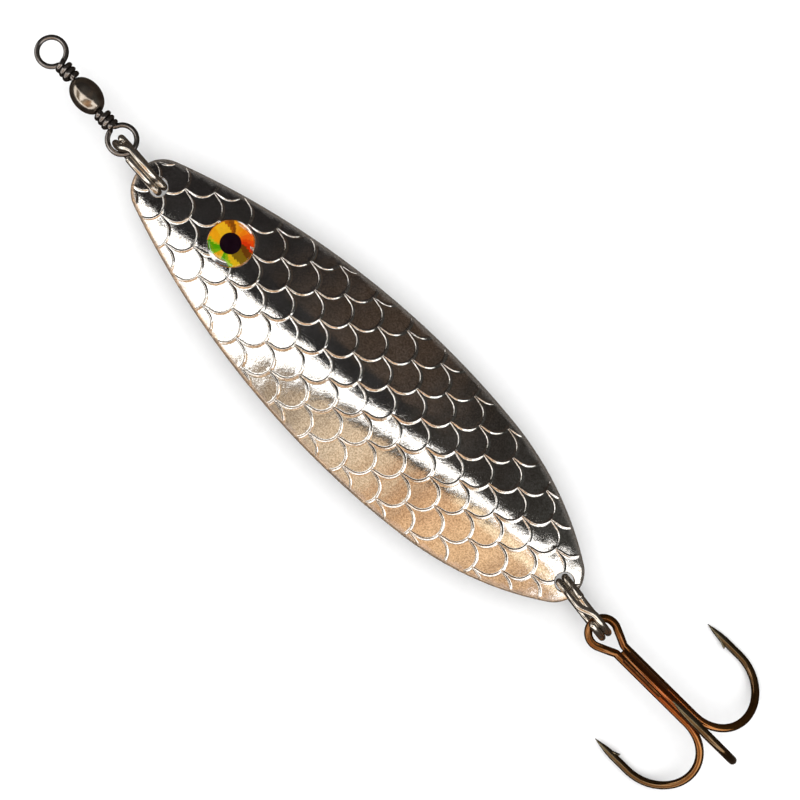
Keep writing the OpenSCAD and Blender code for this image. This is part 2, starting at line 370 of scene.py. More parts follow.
def plated_blade_material():
    """Bright nickel plate: faint orange peel and grain, with brass showing on the worn rim, heaviest
    along the lower side as a painted warm reflection.
    """
    m, tree, shader = material("plated_blade")
    where = object_coords(tree)
    cloud = noise(tree, where, 260, 3)
    mottle = noise(tree, where, 4600, 3, 0.7)
    plate = ramp(tree, cloud, [(0.3, (0.80, 0.775, 0.745)), (0.7, (0.90, 0.885, 0.865))])
    streaks = noise(tree, stretched(tree, where, (260, 2600, 2600)), 1.0, 5, 0.7)
    brass = ramp(tree, streaks, [(0.35, (0.20, 0.10, 0.035)), (0.65, (0.78, 0.47, 0.22))])
    rim = attribute(tree, "rim").outputs["Fac"]
    # Rim brass: wear, laid on most heavily along the lower side as a painted warm reflection
    worn = math_node(tree, "MULTIPLY", rim, spread(tree, streaks, 0.55, 1.0))
    specks = ramp(tree, mottle, [(0.34, (0.52, 0.48, 0.42)), (0.62, (1.0, 1.0, 1.0))])
    speckled = mix(tree, 1.0, mix(tree, worn, plate, brass), specks, "MULTIPLY")
    link(tree, speckled, shader.inputs["Base Color"])
    link(tree, spread(tree, cloud, 0.05, 0.10), shader.inputs["Roughness"])
    peel = bump(tree, noise(tree, where, 1800, 2, 0.5), 8 * MICRON)
    fine = noise(tree, where, 7000, 2, 0.6)
    link(tree, bump(tree, fine, 4.5 * MICRON, under=peel), shader.inputs["Normal"])
    link(tree, spread(tree, rim, 1.0, 0.45), shader.inputs["Metallic"])
    return m


def wire_material(name, base, dark, roughness):
    """Drawn wire with lengthwise die marks and a slightly uneven colour."""
    m, tree, shader = material(name)
    grain = attribute(tree, "grain").outputs["Vector"]
    marks = noise(tree, stretched(tree, grain, (6, 6, 0.35)), 1.0, 4, 0.65)
    shader.inputs["Metallic"].default_value = 1.0
    link(tree, ramp(tree, marks, [(0.3, dark), (0.62, base)]), shader.inputs["Base Color"])
    link(tree, spread(tree, marks, roughness + 0.08, roughness), shader.inputs["Roughness"])
    link(tree, bump(tree, marks, 6 * MICRON), shader.inputs["Normal"])
    return m


def bronzed_hook_material():
    """Bronze lacquer over steel, redder by the eye and olive towards the points."""
    m, tree, shader = material("bronzed_hook")
    grain = attribute(tree, "grain").outputs["Vector"]
    reach = attribute(tree, "reach").outputs["Fac"]
    marks = noise(tree, stretched(tree, grain, (5, 5, 0.5)), 1.0, 4, 0.6)
    patches = noise(tree, object_coords(tree), 420, 3)
    along = math_node(tree, "ADD", reach, math_node(tree, "MULTIPLY", patches, 0.12))
    lacquer = ramp(
        tree,
        along,
        [
            (0.05, (0.23, 0.100, 0.022)),
            (0.25, (0.34, 0.090, 0.013)),
            (0.50, (0.31, 0.140, 0.032)),
            (0.80, (0.17, 0.100, 0.042)),
            (0.93, (0.13, 0.10, 0.055)),
            (1.0, (0.20, 0.19, 0.14)),
        ],
    )
    worn = mix(tree, spread(tree, marks, 0.35, 0.0), lacquer, (0.02, 0.012, 0.008))
    shader.inputs["Metallic"].default_value = 1.0
    shader.inputs["Coat Weight"].default_value = 0.5
    shader.inputs["Coat Roughness"].default_value = 0.05
    shader.inputs["Coat Tint"].default_value = (1.0, 0.8, 0.5, 1)
    link(tree, worn, shader.inputs["Base Color"])
    link(tree, spread(tree, marks, 0.22, 0.12), shader.inputs["Roughness"])
    link(tree, bump(tree, marks, 8 * MICRON), shader.inputs["Normal"])
    return m


def braze_material():
    """Lumpy braze under the same lacquer."""
    m, tree, shader = material("braze")
    lumps = noise(tree, object_coords(tree), 1800, 3)
    colour = ramp(tree, lumps, [(0.35, (0.11, 0.035, 0.010)), (0.7, (0.28, 0.10, 0.022))])
    shader.inputs["Metallic"].default_value = 1.0
    shader.inputs["Coat Weight"].default_value = 0.5
    link(tree, colour, shader.inputs["Base Color"])
    link(tree, spread(tree, lumps, 0.40, 0.28), shader.inputs["Roughness"])
    link(tree, bump(tree, lumps, 50 * MICRON), shader.inputs["Normal"])
    return m


def barrel_material():
    """Black nickel with a warm cast, slightly clouded."""
    m, tree, shader = material("dark_nickel_barrel")
    where = object_coords(tree)
    cloud = noise(tree, where, 900, 4)
    colour = ramp(tree, cloud, [(0.3, (0.24, 0.20, 0.165)), (0.7, (0.44, 0.385, 0.32))])
    shader.inputs["Metallic"].default_value = 1.0
    link(tree, colour, shader.inputs["Base Color"])
    link(tree, spread(tree, cloud, 0.13, 0.22), shader.inputs["Roughness"])
    link(tree, bump(tree, noise(tree, where, 4000, 2), 4 * MICRON), shader.inputs["Normal"])
    return m


def foil_material():
    """Holographic film in the facets' own colours, with fine dark sparkle."""
    m, tree, shader = material("iris_foil")
    colour = attribute(tree, "tint").outputs["Color"]
    sparkle = noise(tree, object_coords(tree), 2600, 3, 0.7)
    lively = mix(tree, spread(tree, sparkle, 0.0, 0.3), colour, (0.0, 0.0, 0.0))
    shader.inputs["Roughness"].default_value = 0.4
    shader.inputs["Specular IOR Level"].default_value = 0.0
    link(tree, lively, shader.inputs["Base Color"])
    link(tree, bump(tree, sparkle, 10 * MICRON), shader.inputs["Normal"])
    return m


def dome_material():
    """Clear resin."""
    m, tree, shader = material("clear_dome")
    haze = noise(tree, object_coords(tree), 900, 2)
    shader.inputs["Transmission Weight"].default_value = 1.0
    shader.inputs["IOR"].default_value = 1.45
    shader.inputs["Base Color"].default_value = (1.0, 0.985, 0.95, 1)
    link(tree, spread(tree, haze, 0.0, 0.06), shader.inputs["Roughness"])
    return m


def pad_material():
    """Foam adhesive."""
    m, tree, shader = material("adhesive")
    cells = noise(tree, object_coords(tree), 6000, 3)
    colour = ramp(tree, cells, [(0.3, (0.62, 0.60, 0.55)), (0.7, (0.80, 0.79, 0.75))])
    link(tree, colour, shader.inputs["Base Color"])
    shader.inputs["Roughness"].default_value = 0.85
    link(tree, bump(tree, cells, 30 * MICRON), shader.inputs["Normal"])
    return m


def floor_material():
    """Matt white paper."""
    m, tree, shader = material("floor_paper")
    fibres = noise(tree, object_coords(tree), 900, 4)
    tone = ramp(tree, fibres, [(0.3, (0.93, 0.93, 0.93)), (0.7, (0.95, 0.95, 0.95))])
    link(tree, tone, shader.inputs["Base Color"])
    shader.inputs["Roughness"].default_value = 0.9
    shader.inputs["Specular IOR Level"].default_value = 0.1
    return m


# -------- blade


class Outline:
    """The blade's plan: a round head, long side arcs, shoulders and a round tail, all tangent."""

    def __init__(self):
        run, rise = BELLY_X + BLADE_L / 2 - HEAD_R, BLADE_W / 2
        side_r = (run * run + rise * rise - HEAD_R**2) / (2 * (rise - HEAD_R))
        self.radii = [HEAD_R, side_r, SHOULDER_R, TAIL_R]
        head = np.array([HEAD_R - BLADE_L / 2, 0])
        side = np.array([BELLY_X, rise - side_r])
        tail = np.array([BLADE_L / 2 - TAIL_R, 0])
        to_side, to_tail = side_r - SHOULDER_R, SHOULDER_R - TAIL_R
        gap = np.linalg.norm(tail - side)
        along = (to_side**2 - to_tail**2 + gap**2) / (2 * gap)
        away = math.sqrt(to_side**2 - along**2)
        way = (tail - side) / gap
        shoulder = side + along * way + away * np.array([-way[1], way[0]])
        self.centres = [head, side, shoulder, tail]
        # The directions in which each arc hands over to the next
        joints = [head - side, shoulder - side, tail - shoulder]
        self.angles = [math.atan2(j[1], j[0]) for j in joints]

    def loop(self, inset, spacing):
        """Points round the outline, moved in by inset, about spacing apart."""
        ends = [math.pi, *self.angles, 0]
        upper = []
        for centre, radius, a, b in zip(self.centres, self.radii, ends, ends[1:]):
            steps = max(2, round(radius * abs(a - b) / spacing))
            t = np.linspace(a, b, steps, endpoint=False)
            upper.append(centre + (radius - inset) * np.stack([np.cos(t), np.sin(t)], 1))
        upper = np.concatenate([*upper, [[BLADE_L / 2 - inset, 0]]])
        return np.concatenate([upper, upper[-2:0:-1] * [1, -1]])

    def edge(self, p):
        """How far inside the outline each point lies, and the outward direction there."""
        q = np.stack([p[:, 0], np.abs(p[:, 1])], 1)
        from_side, from_shoulder = q - self.centres[1], q - self.centres[2]
        about_side = np.arctan2(from_side[:, 1], from_side[:, 0])
        about_shoulder = np.arctan2(from_shoulder[:, 1], from_shoulder[:, 0])
        which = np.where(about_side > self.angles[0], 0, 1)
        which = np.where(about_side < self.angles[1], 2, which)
        which = np.where((which == 2) & (about_shoulder < self.angles[2]), 3, which)
        out = q - np.array(self.centres)[which]
        reach = np.linalg.norm(out, axis=1)
        out = out / np.maximum(reach, 1e-9)[:, None]
        out[:, 1] *= np.where(p[:, 1] < 0, -1, 1)
        return np.array(self.radii)[which] - reach, out


OUTLINE = Outline()


def face_height(p, below=0.0):
    """Height of the bowed layer that lies below the convex face by the given depth."""
    across = np.sqrt((CROSS_R - below) ** 2 - p[:, 1] ** 2)
    return CROWN_Z - BOW_R + np.sqrt((BOW_R - CROSS_R + across) ** 2 - p[:, 0] ** 2)


def scale_radius(angle):
    """Distance from a scale's centre to its ridge, which flares where it meets the row before."""
    past = np.maximum(np.abs(angle) - FLARE_FROM, 0) / (SCALE_END - FLARE_FROM)
    return SCALE_R + FLARE * past**2


def scale_centres(reach=2.5):
    """Centres of every scale that touches the blade."""
    centres = []
    rows = int(BLADE_L / 2 / ROW_STEP) + 2
    columns = int(BLADE_W / 2 / SCALE_PITCH) + 1
    for row in range(-rows, rows + 1):
        x = FIRST_ROW_X + ROW_STEP * row
        for column in range(-columns, columns + 1):
            centres.append((x, SCALE_PITCH * (column + 0.5 * (row % 2))))
    centres = np.array(centres)
    return centres[OUTLINE.edge(centres)[0] > -reach]


SCALES = scale_centres()


def stamping(p):
    """Height of the stamped relief: a fine ridge round each scale and a slight pillow inside."""
    ridge, nearest = np.zeros(len(p)), np.full(len(p), np.inf)
    # Farther than this from its centre a scale adds nothing
    reach = SCALE_R + 2.0
    for centre in SCALES:
        near = np.abs(p - centre).max(1) < reach
        v = p[near] - centre
        angle = np.arctan2(v[:, 1], v[:, 0])
        held = np.clip(angle, -SCALE_END, SCALE_END)
        r = scale_radius(held)
        foot = np.stack([r * np.cos(held), r * np.sin(held)], 1)
        d = np.linalg.norm(v - foot, axis=1)
        # A ridge falls away quickly into its own scale and slowly outwards.
        w = np.where(np.linalg.norm(v, axis=1) < r, RIDGE_INNER_W, RIDGE_OUTER_W)
        ridge[near] = np.maximum(ridge[near], RIDGE_H * np.exp(-((d / w) ** 2)))
        nearest[near] = np.minimum(nearest[near], d)
    return ridge + PILLOW_H * (1 - np.exp(-((nearest / PILLOW_W) ** 2)))


def holes_distance(p):
    """Distance outside the nearer hole, and the direction towards its centre."""
    v = [np.array([x, 0]) - p for x in (HEAD_HOLE_X, TAIL_HOLE_X)]
    r = [np.linalg.norm(w, axis=1) for w in v]
    nearer = (r[0] < r[1])[:, None]
    toward = np.where(nearer, v[0], v[1])
    reach = np.minimum(r[0], r[1])
    return reach - HOLE_R, toward / np.maximum(reach, 1e-9)[:, None]


def rounded(p, edge_r):
    """Drop of the face at its rounded edges, the tilt there, and the way it tilts."""
    edge, out = OUTLINE.edge(p)
    hole, toward = holes_distance(p)
    outer = np.clip(1 - edge / edge_r, 0, 1)
    inner = np.clip(1 - hole / HOLE_EDGE_R, 0, 1)
    drop = edge_r * (1 - np.sqrt(1 - outer**2)) + HOLE_EDGE_R * (1 - np.sqrt(1 - inner**2))
    way = np.where((inner > outer)[:, None], toward, out)
    return drop, np.maximum(outer, inner), way


def relief_height(p):
    """Height of the stamped face."""
    return face_height(p) + stamping(p) - FACE_DROP


def face_normals(p, height, edge_r, up):
    """Smooth normals: the face's own slope, turned outwards where the edge is rounded."""
    step = 0.012
    slopes = [
        (height(p + d) - height(p - d)) / (2 * step)
        for d in (np.array([step, 0]), np.array([0, step]))
    ]
    n = unit_rows(np.stack([-slopes[0], -slopes[1], np.ones(len(p))], 1)) * up
    tilt, way = rounded(p, edge_r)[1:]
    sideways = np.concatenate([way, np.zeros((len(p), 1))], 1)
    return unit_rows(n * np.sqrt(1 - tilt**2)[:, None] + sideways * tilt[:, None])


def circle(centre, radius, count):
    """Points evenly round a circle in plan."""
    a = np.arange(count) * 2 * math.pi / count
    return np.asarray(centre) + radius * np.stack([np.cos(a), np.sin(a)], 1)


# Angles round each rounded edge, from its rim to the flat of the face
EDGE_BENDS = [90, 72, 54, 36, 18, 0]


def edge_loops(edge_r):
    """Closed loops that follow the rounded outline and the two rounded holes, rims first."""
    bends = 1 - np.sin(np.radians(EDGE_BENDS))
    loops = [OUTLINE.loop(edge_r * b, EDGE_SPACING) for b in bends]
    for x in (HEAD_HOLE_X, TAIL_HOLE_X):
        loops += [circle((x, 0), HOLE_R + HOLE_EDGE_R * b, HOLE_FACETS) for b in bends]
    return loops


def on_face(p, margin):
    """Which points lie on the blade, at least the margin from its edges."""
    return (OUTLINE.edge(p)[0] > margin) & (holes_distance(p)[0] > margin)


# Where mesh lines run beside a ridge's crest, from its steep inner flank to its long outer one
RIDGE_OFFSETS = (-0.22, -0.12, -0.07, -0.035, 0, 0.06, 0.12, 0.2, 0.3, 0.42)


def ridge_lines(margin=0.03):
    """Open lines that run along both flanks and the crest of each ridge."""
    angles = np.linspace(-SCALE_END, SCALE_END, round(2 * SCALE_END * SCALE_R / RIDGE_SPACING))
    along = np.stack([np.cos(angles), np.sin(angles)], 1)
    lines = []
    for centre in SCALES:
        for offset in RIDGE_OFFSETS:
            line = centre + (scale_radius(angles) + offset)[:, None] * along
            gaps = np.flatnonzero(~on_face(line, margin))
            parts = [part[on_face(part, margin)] for part in np.split(line, gaps)]
            lines += [part for part in parts if len(part) > 1]
    return lines


def filler_points(spacing, margin=0.5):
    """An even grid of points inside the outline, away from the edges."""
    xs = np.arange(-BLADE_L / 2, BLADE_L / 2, spacing)
    ys = np.arange(-BLADE_W / 2, BLADE_W / 2, spacing)
    p = np.stack(np.meshgrid(xs, ys), -1).reshape(-1, 2)
    p[:, 0] += np.where((np.round(p[:, 1] / spacing) % 2) > 0, spacing / 2, 0)
    return p[on_face(p, margin)]


def triangulate(loops, lines, filler):
    """A triangle mesh in plan that keeps every loop and line as edges.

    Returns its points, its triangles and, for each point, the input points it came from."""
    points, edges, first = [], [], 0
    for loop in loops:
        n = len(loop)
        points.append(loop)
        edges += [(first + i, first + (i + 1) % n) for i in range(n)]
        first += n
    for line in lines:
        points.append(line)
        edges += [(first + i, first + i + 1) for i in range(len(line) - 1)]
        first += len(line)
    points.append(filler)
    coords = [Vector(p) for p in np.concatenate(points).tolist()]
    corners, _, triangles, sources, _, _ = delaunay_2d_cdt(coords, edges, [], 0, 1e-5)
    plan = np.array([tuple(corner) for corner in corners])
    triangles = np.array(triangles)
    return plan, triangles[on_face(plan[triangles].mean(1), 0)], sources


def loop_indices(loops, sources, which):
    """Where the points of one input loop ended up in the triangulation."""
    place = {}
    for i, origins in enumerate(sources):
        for o in origins:
            place[o] = i
    start = sum(len(loop) for loop in loops[:which])
    return [place[start + i] for i in range(len(loops[which]))]


def rim_wear_and_warm_reflection(p):
    """How much brass shows at each point: worn plate only near the rim, and most along the lower side,
    where the extra brass is a painted warm reflection.
    """
    near_rim = smooth((RIM_WEAR_W - OUTLINE.edge(p)[0]) / RIM_WEAR_EASE)
    lower_side = smooth(0.5 - p[:, 1] / 2)
    return near_rim * (UPPER_RIM_SHARE + (1 - UPPER_RIM_SHARE) * lower_side)


def build_blade(plate):
    """The blade: a stamped convex face, a smooth hollow underside and rounded edges between."""
    top_loops = edge_loops(TOP_EDGE_R)
    top_plan, top_faces, top_from = triangulate(top_loops, ridge_lines(), filler_points(TOP_GRID))
    under_loops = edge_loops(UNDER_EDGE_R)
    under_plan, under_faces, under_from = triangulate(under_loops, [], filler_points(UNDER_GRID))

    def under_height(p):
        return face_height(p, BLADE_T)

    top_z = relief_height(top_plan) - rounded(top_plan, TOP_EDGE_R)[0]
    under_z = under_height(under_plan) + rounded(under_plan, UNDER_EDGE_R)[0]
    top_n = face_normals(top_plan, relief_height, TOP_EDGE_R, 1)
    under_n = face_normals(under_plan, under_height, UNDER_EDGE_R, -1)

    points = np.concatenate([
        np.column_stack([top_plan, top_z]),
        np.column_stack([under_plan, under_z]),
    ])
    normals = np.concatenate([top_n, under_n])
    faces = [tuple(f) for f in top_faces.tolist()]
    shift = len(top_plan)
    faces += [(a + shift, c + shift, b + shift) for a, b, c in under_faces.tolist()]
    for which in range(0, len(top_loops), len(EDGE_BENDS)):
        upper = loop_indices(top_loops, top_from, which)
        lower = loop_indices(under_loops, under_from, which)
        for i in range(len(upper)):
            j = (i + 1) % len(upper)
            faces.append((upper[i], upper[j], lower[j] + shift, lower[i] + shift))
    piece = new_piece(
        "blade_plated",
        points + MIDDLE,
        faces,
        "blade",
        plate,
        normals=normals,
        attributes={"rim": rim_wear_and_warm_reflection(points[:, :2])},
    )
    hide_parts("blade")


# -------- eye


# The film's facets, as the angle in degrees where each begins and its colour
IRIS_FACETS = [
    (0, (0.17, 0.055, 0.005)),
    (16, (0.78, 0.045, 0.005)),
    (32, (0.90, 0.085, 0.005)),
    (46, (0.98, 0.17, 0.008)),
    (70, (1.00, 0.27, 0.008)),
    (92, (1.00, 0.36, 0.010)),
    (114, (1.00, 0.42, 0.015)),
    (129, (0.28, 0.085, 0.005)),
    (144, (0.50, 0.14, 0.005)),
    (154, (1.00, 0.58, 0.02)),
    (178, (1.00, 0.46, 0.01)),
    (200, (0.62, 0.62, 0.02)),
    (208, (0.10, 0.42, 0.004)),
    (234, (0.20, 0.55, 0.01)),
    (252, (0.98, 0.50, 0.01)),
    (276, (0.85, 0.58, 0.02)),
    (289, (0.12, 0.44, 0.005)),
    (308, (0.34, 0.60, 0.01)),
    (324, (0.90, 0.58, 0.015)),
    (342, (0.26, 0.16, 0.008)),
]
PUPIL_COLOUR, IRIS_RIM_COLOUR = (0.010, 0.003, 0.008), (0.85, 0.28, 0.01)
IRIS_RIM_W = 0.14
# How far a facet's sides swing round on the way in, and the angle that the swing turns on
FACET_SWING, SWING_FROM = 26, 170
EYE_FACETS = 240


def at_eye(points):
    """Points on the blade's face at the eye, with x, y in plan and z as height above the face."""
    plan = points[:, :2] + [EYE_X, EYE_Y]
    base = face_height(plan)
    return np.column_stack([plan, base + points[:, 2]]) + MIDDLE


def disc(radii, heights, count=EYE_FACETS):
    """Points and faces of rings from the rim to a centre point."""
    a = np.arange(count) * 2 * math.pi / count
    rings = [
        np.column_stack([r * np.cos(a), r * np.sin(a), 0 * a + h]) for r, h in zip(radii, heights)
    ]
    points = np.concatenate([*rings, [[0, 0, heights[-1]]]])
    faces = ring_quads(len(radii), count)
    last = (len(radii) - 1) * count
    faces += [(last + k, last + (k + 1) % count, len(points) - 1) for k in range(count)]
    return points, faces


def paint_facets(piece):
    """Gives each face of the foil the colour of its facet, or of the pupil or the rim."""
    mesh = piece.data
    layer = mesh.color_attributes.new("tint", "FLOAT_COLOR", "CORNER")
    starts = [start for start, _ in IRIS_FACETS]
    for polygon in mesh.polygons:
        x = polygon.center.x / MM - MIDDLE[0] - EYE_X
        y = polygon.center.y / MM - MIDDLE[1] - EYE_Y
        r, angle = math.hypot(x, y), math.degrees(math.atan2(y, x)) % 360
        inward = (EYE_R - r) / (EYE_R - PUPIL_R)
        swing = FACET_SWING * math.sin(math.radians(2 * angle - SWING_FROM))
        swung = (angle + inward * swing) % 360
        colour = IRIS_FACETS[np.searchsorted(starts, swung, "right") - 1][1]
        if r < PUPIL_R:
            colour = PUPIL_COLOUR
        elif r > EYE_R - IRIS_RIM_W:
            colour = IRIS_RIM_COLOUR
        for corner in polygon.loop_indices:
            layer.data[corner].color = (*colour, 1)


def build_eye(foil, dome, pad):
    """The stick-on eye in three layers: adhesive, printed film and a domed lens."""
    radii = [2.95, 2.95, 2.5, 1.5, 0.6]
    points, faces = disc(radii, [0] + [PAD_T] * 4)
    piece = new_piece("eye_backing", at_eye(points), faces, "blade", pad)
    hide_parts("eye_pad")

    radii = [EYE_R, EYE_R, EYE_R - IRIS_RIM_W, 2.5, 2.1, 1.7, PUPIL_R + 0.04, PUPIL_R - 0.01, 0.9, 0.4]
    points, faces = disc(radii, [PAD_T] + [PAD_T + FOIL_T] * 9)
    piece = new_piece("eye_iris", at_eye(points), faces, "blade", foil)
    paint_facets(piece)
    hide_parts("eye_foil")

    low = PAD_T + FOIL_T + 0.01
    wall, bend_r, wide = 0.17, 0.13, EYE_R - 0.01
    bend = np.radians(np.linspace(0, 90, 9))[1:]
    radii = [wide, *(wide - bend_r * (1 - np.cos(bend))), 2.2, 1.5, 0.8, 0.3]
    crown = [DOME_T - below for below in (0.06, 0.03, 0.015, 0.01)]
    heights = low + np.array([0, *(wall + bend_r * np.sin(bend)), *crown])
    points, faces = disc(radii, heights)
    faces.append(tuple(reversed(range(EYE_FACETS))))
    piece = new_piece("eye_lens", at_eye(points), faces, "blade", dome)
    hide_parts("eye_dome")


# -------- split rings


def split_path(coil_r, step_at):
    """A double turn of wire in the XZ plane that steps from one lane to the other."""
    last = 720 - RING_STEP - 2 * RING_GAP
    sweep_by = RING_GAP + np.arange(0, last + 0.01, 2.0)
    angle = np.radians(step_at - RING_STEP / 2 - sweep_by)
    across = smooth((sweep_by - 360 + RING_STEP) / RING_STEP)
    return np.stack([coil_r * np.cos(angle), LANE * (2 * across - 1), coil_r * np.sin(angle)], 1)


def build_ring(name, node, body, steel, coil_r, step_at, yaw, at):
    """A split ring with its two cut ends eased."""
    path = split_path(coil_r, step_at)
    from_end = np.minimum(np.arange(len(path)), np.arange(len(path))[::-1])
    ease = np.sqrt(np.clip(from_end / 2, 0, 1))
    radii = RING_WIRE_R * (RING_END_SHARE + (1 - RING_END_SHARE) * ease)
    points, faces, marks = sweep(path, radii, (0, 1, 0), 24)
    piece = new_piece(name, turned(points, yaw, 0, at), faces, body, steel, attributes=marks)
    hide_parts(node)


# -------- swivel


def swivel_wire_path():
    """One wire out of the barrel, round the eye, and back in turns round its own stem."""
    pitch = 2 * SWIVEL_WIRE_R + WRAP_GAP
    wrap_r = STEM_R + SWIVEL_WIRE_R - WRAP_BITE
    curl = 0.3
    neck = SWIVEL_LOOP_R + curl
    far = SWIVEL_SPAN / 2 - BARREL_L / 2 + STEM_REACH
    open_at = math.radians(16)
    start = SWIVEL_LOOP_R * np.array([math.cos(open_at), -math.sin(open_at), 0])
    along = np.array([math.sin(open_at), math.cos(open_at), 0])
    stem_at = (far, far - 2 * curl, neck + 2 * curl, neck + curl)
    stem = bezier(*[(x, 0, 0) for x in stem_at], 12)
    rise = bezier((neck + curl, 0, 0), (neck, 0, 0), start + curl * along, start, 10)
    a = -np.arange(open_at, 2 * math.pi - open_at, math.radians(4))
    loop = SWIVEL_LOOP_R * np.stack([np.cos(a), np.sin(a), 0 * a], 1)
    t = np.radians(np.arange(90, 90 + 360 * WRAPS + 1, 9.0))
    turns = (t - t[0]) / (2 * math.pi)
    wraps = np.stack([neck + pitch * turns, wrap_r * np.cos(t), wrap_r * np.sin(t)], 1)
    leave = loop[-1] - 0.5 * np.array([-math.sin(open_at), math.cos(open_at), 0])
    closing = bezier(loop[-1], leave, wraps[0] + [-0.1, 0.5, 0], wraps[0], 8)
    return np.concatenate([stem, rise, loop[:-1], closing, wraps])


def build_swivel_eye(name, node, body, wire, yaw, at):
    """One eye of the swivel, with the end of its wraps cut short and thin."""
    path = swivel_wire_path()
    radii = np.full(len(path), SWIVEL_WIRE_R)
    radii[-2:] *= [0.9, 0.7]
    points, faces, marks = sweep(path, radii, (0, 0, 1), 18)
    piece = new_piece(name, turned(points, yaw, 0, at), faces, body, wire, attributes=marks)
    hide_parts(node)


def build_barrel(metal):
    """A drawn oval shell with a rolled lip round each stem hole."""
    half = BARREL_L / 2
    t = np.linspace(-1, 1, 41)
    bulge = BARREL_R * np.sqrt(1 - BARREL_TAPER * t**2)
    # The lip, as shares of the half length and of the radius
    lip = [(0.97, 0.36), (1.0, 0.33), (1.02, 0.29), (1.02, 0.24), (0.99, 0.2)]
    body = [(half * lip[0][0] * a, r) for a, r in zip(t, bulge)]
    start = [(-half * x, BARREL_R * r) for x, r in reversed(lip)]
    end = [(half * x, BARREL_R * r) for x, r in lip]
    points, faces = lathe([*start, *body, *end], 96)
    at = SWIVEL_SPAN / 2 * flat(SWIVEL_YAW)
    piece = new_piece("swivel_body", turned(points, SWIVEL_YAW, 0, at), faces, "barrel", metal)
    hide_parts("swivel_barrel")


# -------- treble hook


def hook_arm(angle):
    """One hook from its point, round its bend, to the start of its shank."""
    bend_r = (HOOK_REACH - BUNDLE_R) / 2
    # Places along the point's leg, closer together where it tapers
    legs = np.array([0, 0.25, 0.5, 0.8, 1.2, 1.7, 2.3, 3.0, 3.8, 4.8])
    tip = np.stack([HOOK_SHANK - HOOK_LEG + legs, np.full(len(legs), HOOK_REACH)], 1)
    a = np.radians(np.arange(90, -90.1, -4))
    bend = np.stack([HOOK_SHANK + bend_r * np.cos(a), BUNDLE_R + bend_r * (1 + np.sin(a))], 1)
    line = np.concatenate([tip, bend])
    t = math.radians(angle)
    return np.stack([line[:, 0], line[:, 1] * math.cos(t), line[:, 1] * math.sin(t)], 1)


def hook_taper(path):
    """Full wire, drawn down over the last few millimetres to a needle point."""
    t = np.clip(length_along(path) / POINT_L, 0, 1)
    return HOOK_WIRE_R * (TIP_SHARE + (1 - TIP_SHARE) * np.sin(t * math.pi / 2))


def hook_eye_path():
    """Half of the eye: up out of the bundle, along a flank and round to the far side."""
    side_y, drop = BUNDLE_R * math.cos(math.radians(30)), -BUNDLE_R / 2
    touch = HOOK_LOOP_R * flat(FLANK_ANGLE)
    t = np.linspace(1, 0, 12, endpoint=False)
    flank_end = SHANK_START - 1
    run = flank_end - touch[0]
    flank = np.stack(
        [touch[0] + run * t, touch[1] + (side_y - touch[1]) * t, drop * smooth(1.3 * t - 0.4)], 1
    )
    a = np.radians(np.arange(FLANK_ANGLE, 180.1, 4))
    loop = HOOK_LOOP_R * np.stack([np.cos(a), np.sin(a), 0 * a], 1)
    return np.concatenate([[[SHANK_START, side_y, drop]], flank, loop])


def reach_along(path):
    """From 0 at the eye to 1 at the point, for the lacquer's colour."""
    return 1 - np.clip(length_along(path) / LACQUER_L, 0, 1)


def barb(angle):
    """A slim spur cut from the inner side of a point, leaning back towards the bend."""
    start = HOOK_SHANK - HOOK_LEG + BARB_AT
    root = HOOK_REACH - BARB_ROOT
    side = [(0, 0), (0.25, -0.16), (1.15, -0.62), (1.35, -0.72), (1.22, -0.5), (1.05, 0.02)]
    points = []
    for y, share in ((-BARB_HALF_T, 0.75), (0.0, 1.0), (BARB_HALF_T, 0.75)):
        points += [(start + x, root + share * height, y) for x, height in side]
    n = len(side)
    faces = [tuple(range(n)), tuple(reversed(range(2 * n, 3 * n)))]
    faces += [(b, a, d, c) for a, b, c, d in ring_quads(3, n)]
    p = np.array(points)
    t = math.radians(angle)
    up, across = np.array([math.cos(t), math.sin(t)]), np.array([-math.sin(t), math.cos(t)])
    yz = p[:, 1:2] * up + p[:, 2:3] * across
    grain = np.column_stack([p[:, 2], p[:, 1], p[:, 0]])
    marks = {"grain": grain, "reach": np.full(len(p), BARB_TONE)}
    return np.column_stack([p[:, 0], yz]), faces, marks


def joined(parts):
    """Several (points, faces, attributes) as one."""
    points, faces, marks, first = [], [], {}, 0
    for p, f, a in parts:
        points.append(p)
        faces += [tuple(i + first for i in face) for face in f]
        first += len(p)
        for key, values in a.items():
            marks.setdefault(key, []).append(values)
    return np.concatenate(points), faces, {k: np.concatenate(v) for k, v in marks.items()}


def hook_wire(path, pointed_twice=False):
    """A hook's wire and its attributes; a double hook has a point at both ends."""
    facets = 20
    taper, reach = hook_taper(path), reach_along(path)
    if pointed_twice:
        taper = np.minimum(taper, hook_taper(path[::-1])[::-1])
        reach = np.maximum(reach, reach_along(path[::-1])[::-1])
    points, faces, marks = sweep(path, taper, (0, 1, 0), facets)
    return points, faces, {"grain": marks["grain"], "reach": np.repeat(reach, facets)}


def build_treble(lacquer, braze):
    """A double hook bent from one wire, a single hook and the braze between their shanks."""

    def placed(points):
        return turned(points, HOOK_YAW, HOOK_ROLL, HOOK_EYE_AT)

    half = np.concatenate([hook_arm(ARM_RIGHT), hook_eye_path()])
    double = np.concatenate([half, half[-2::-1] * [1, -1, 1]])
    pair = [hook_wire(double, pointed_twice=True), barb(ARM_RIGHT), barb(ARM_LEFT)]
    points, faces, marks = joined(pair)
    piece = new_piece("treble_pair", placed(points), faces, "treble", lacquer, attributes=marks)
    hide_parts("treble_double_hook")

    single = np.concatenate([hook_arm(ARM_TOP), [[SINGLE_START, 0, BUNDLE_R]]])
    points, faces, marks = joined([hook_wire(single), barb(ARM_TOP)])
    piece = new_piece("treble_third", placed(points), faces, "treble", lacquer, attributes=marks)
    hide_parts("treble_single_hook")

    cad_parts["treble_braze"].data.materials.clear()
    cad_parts["treble_braze"].data.materials.append(braze)


# -------- studio


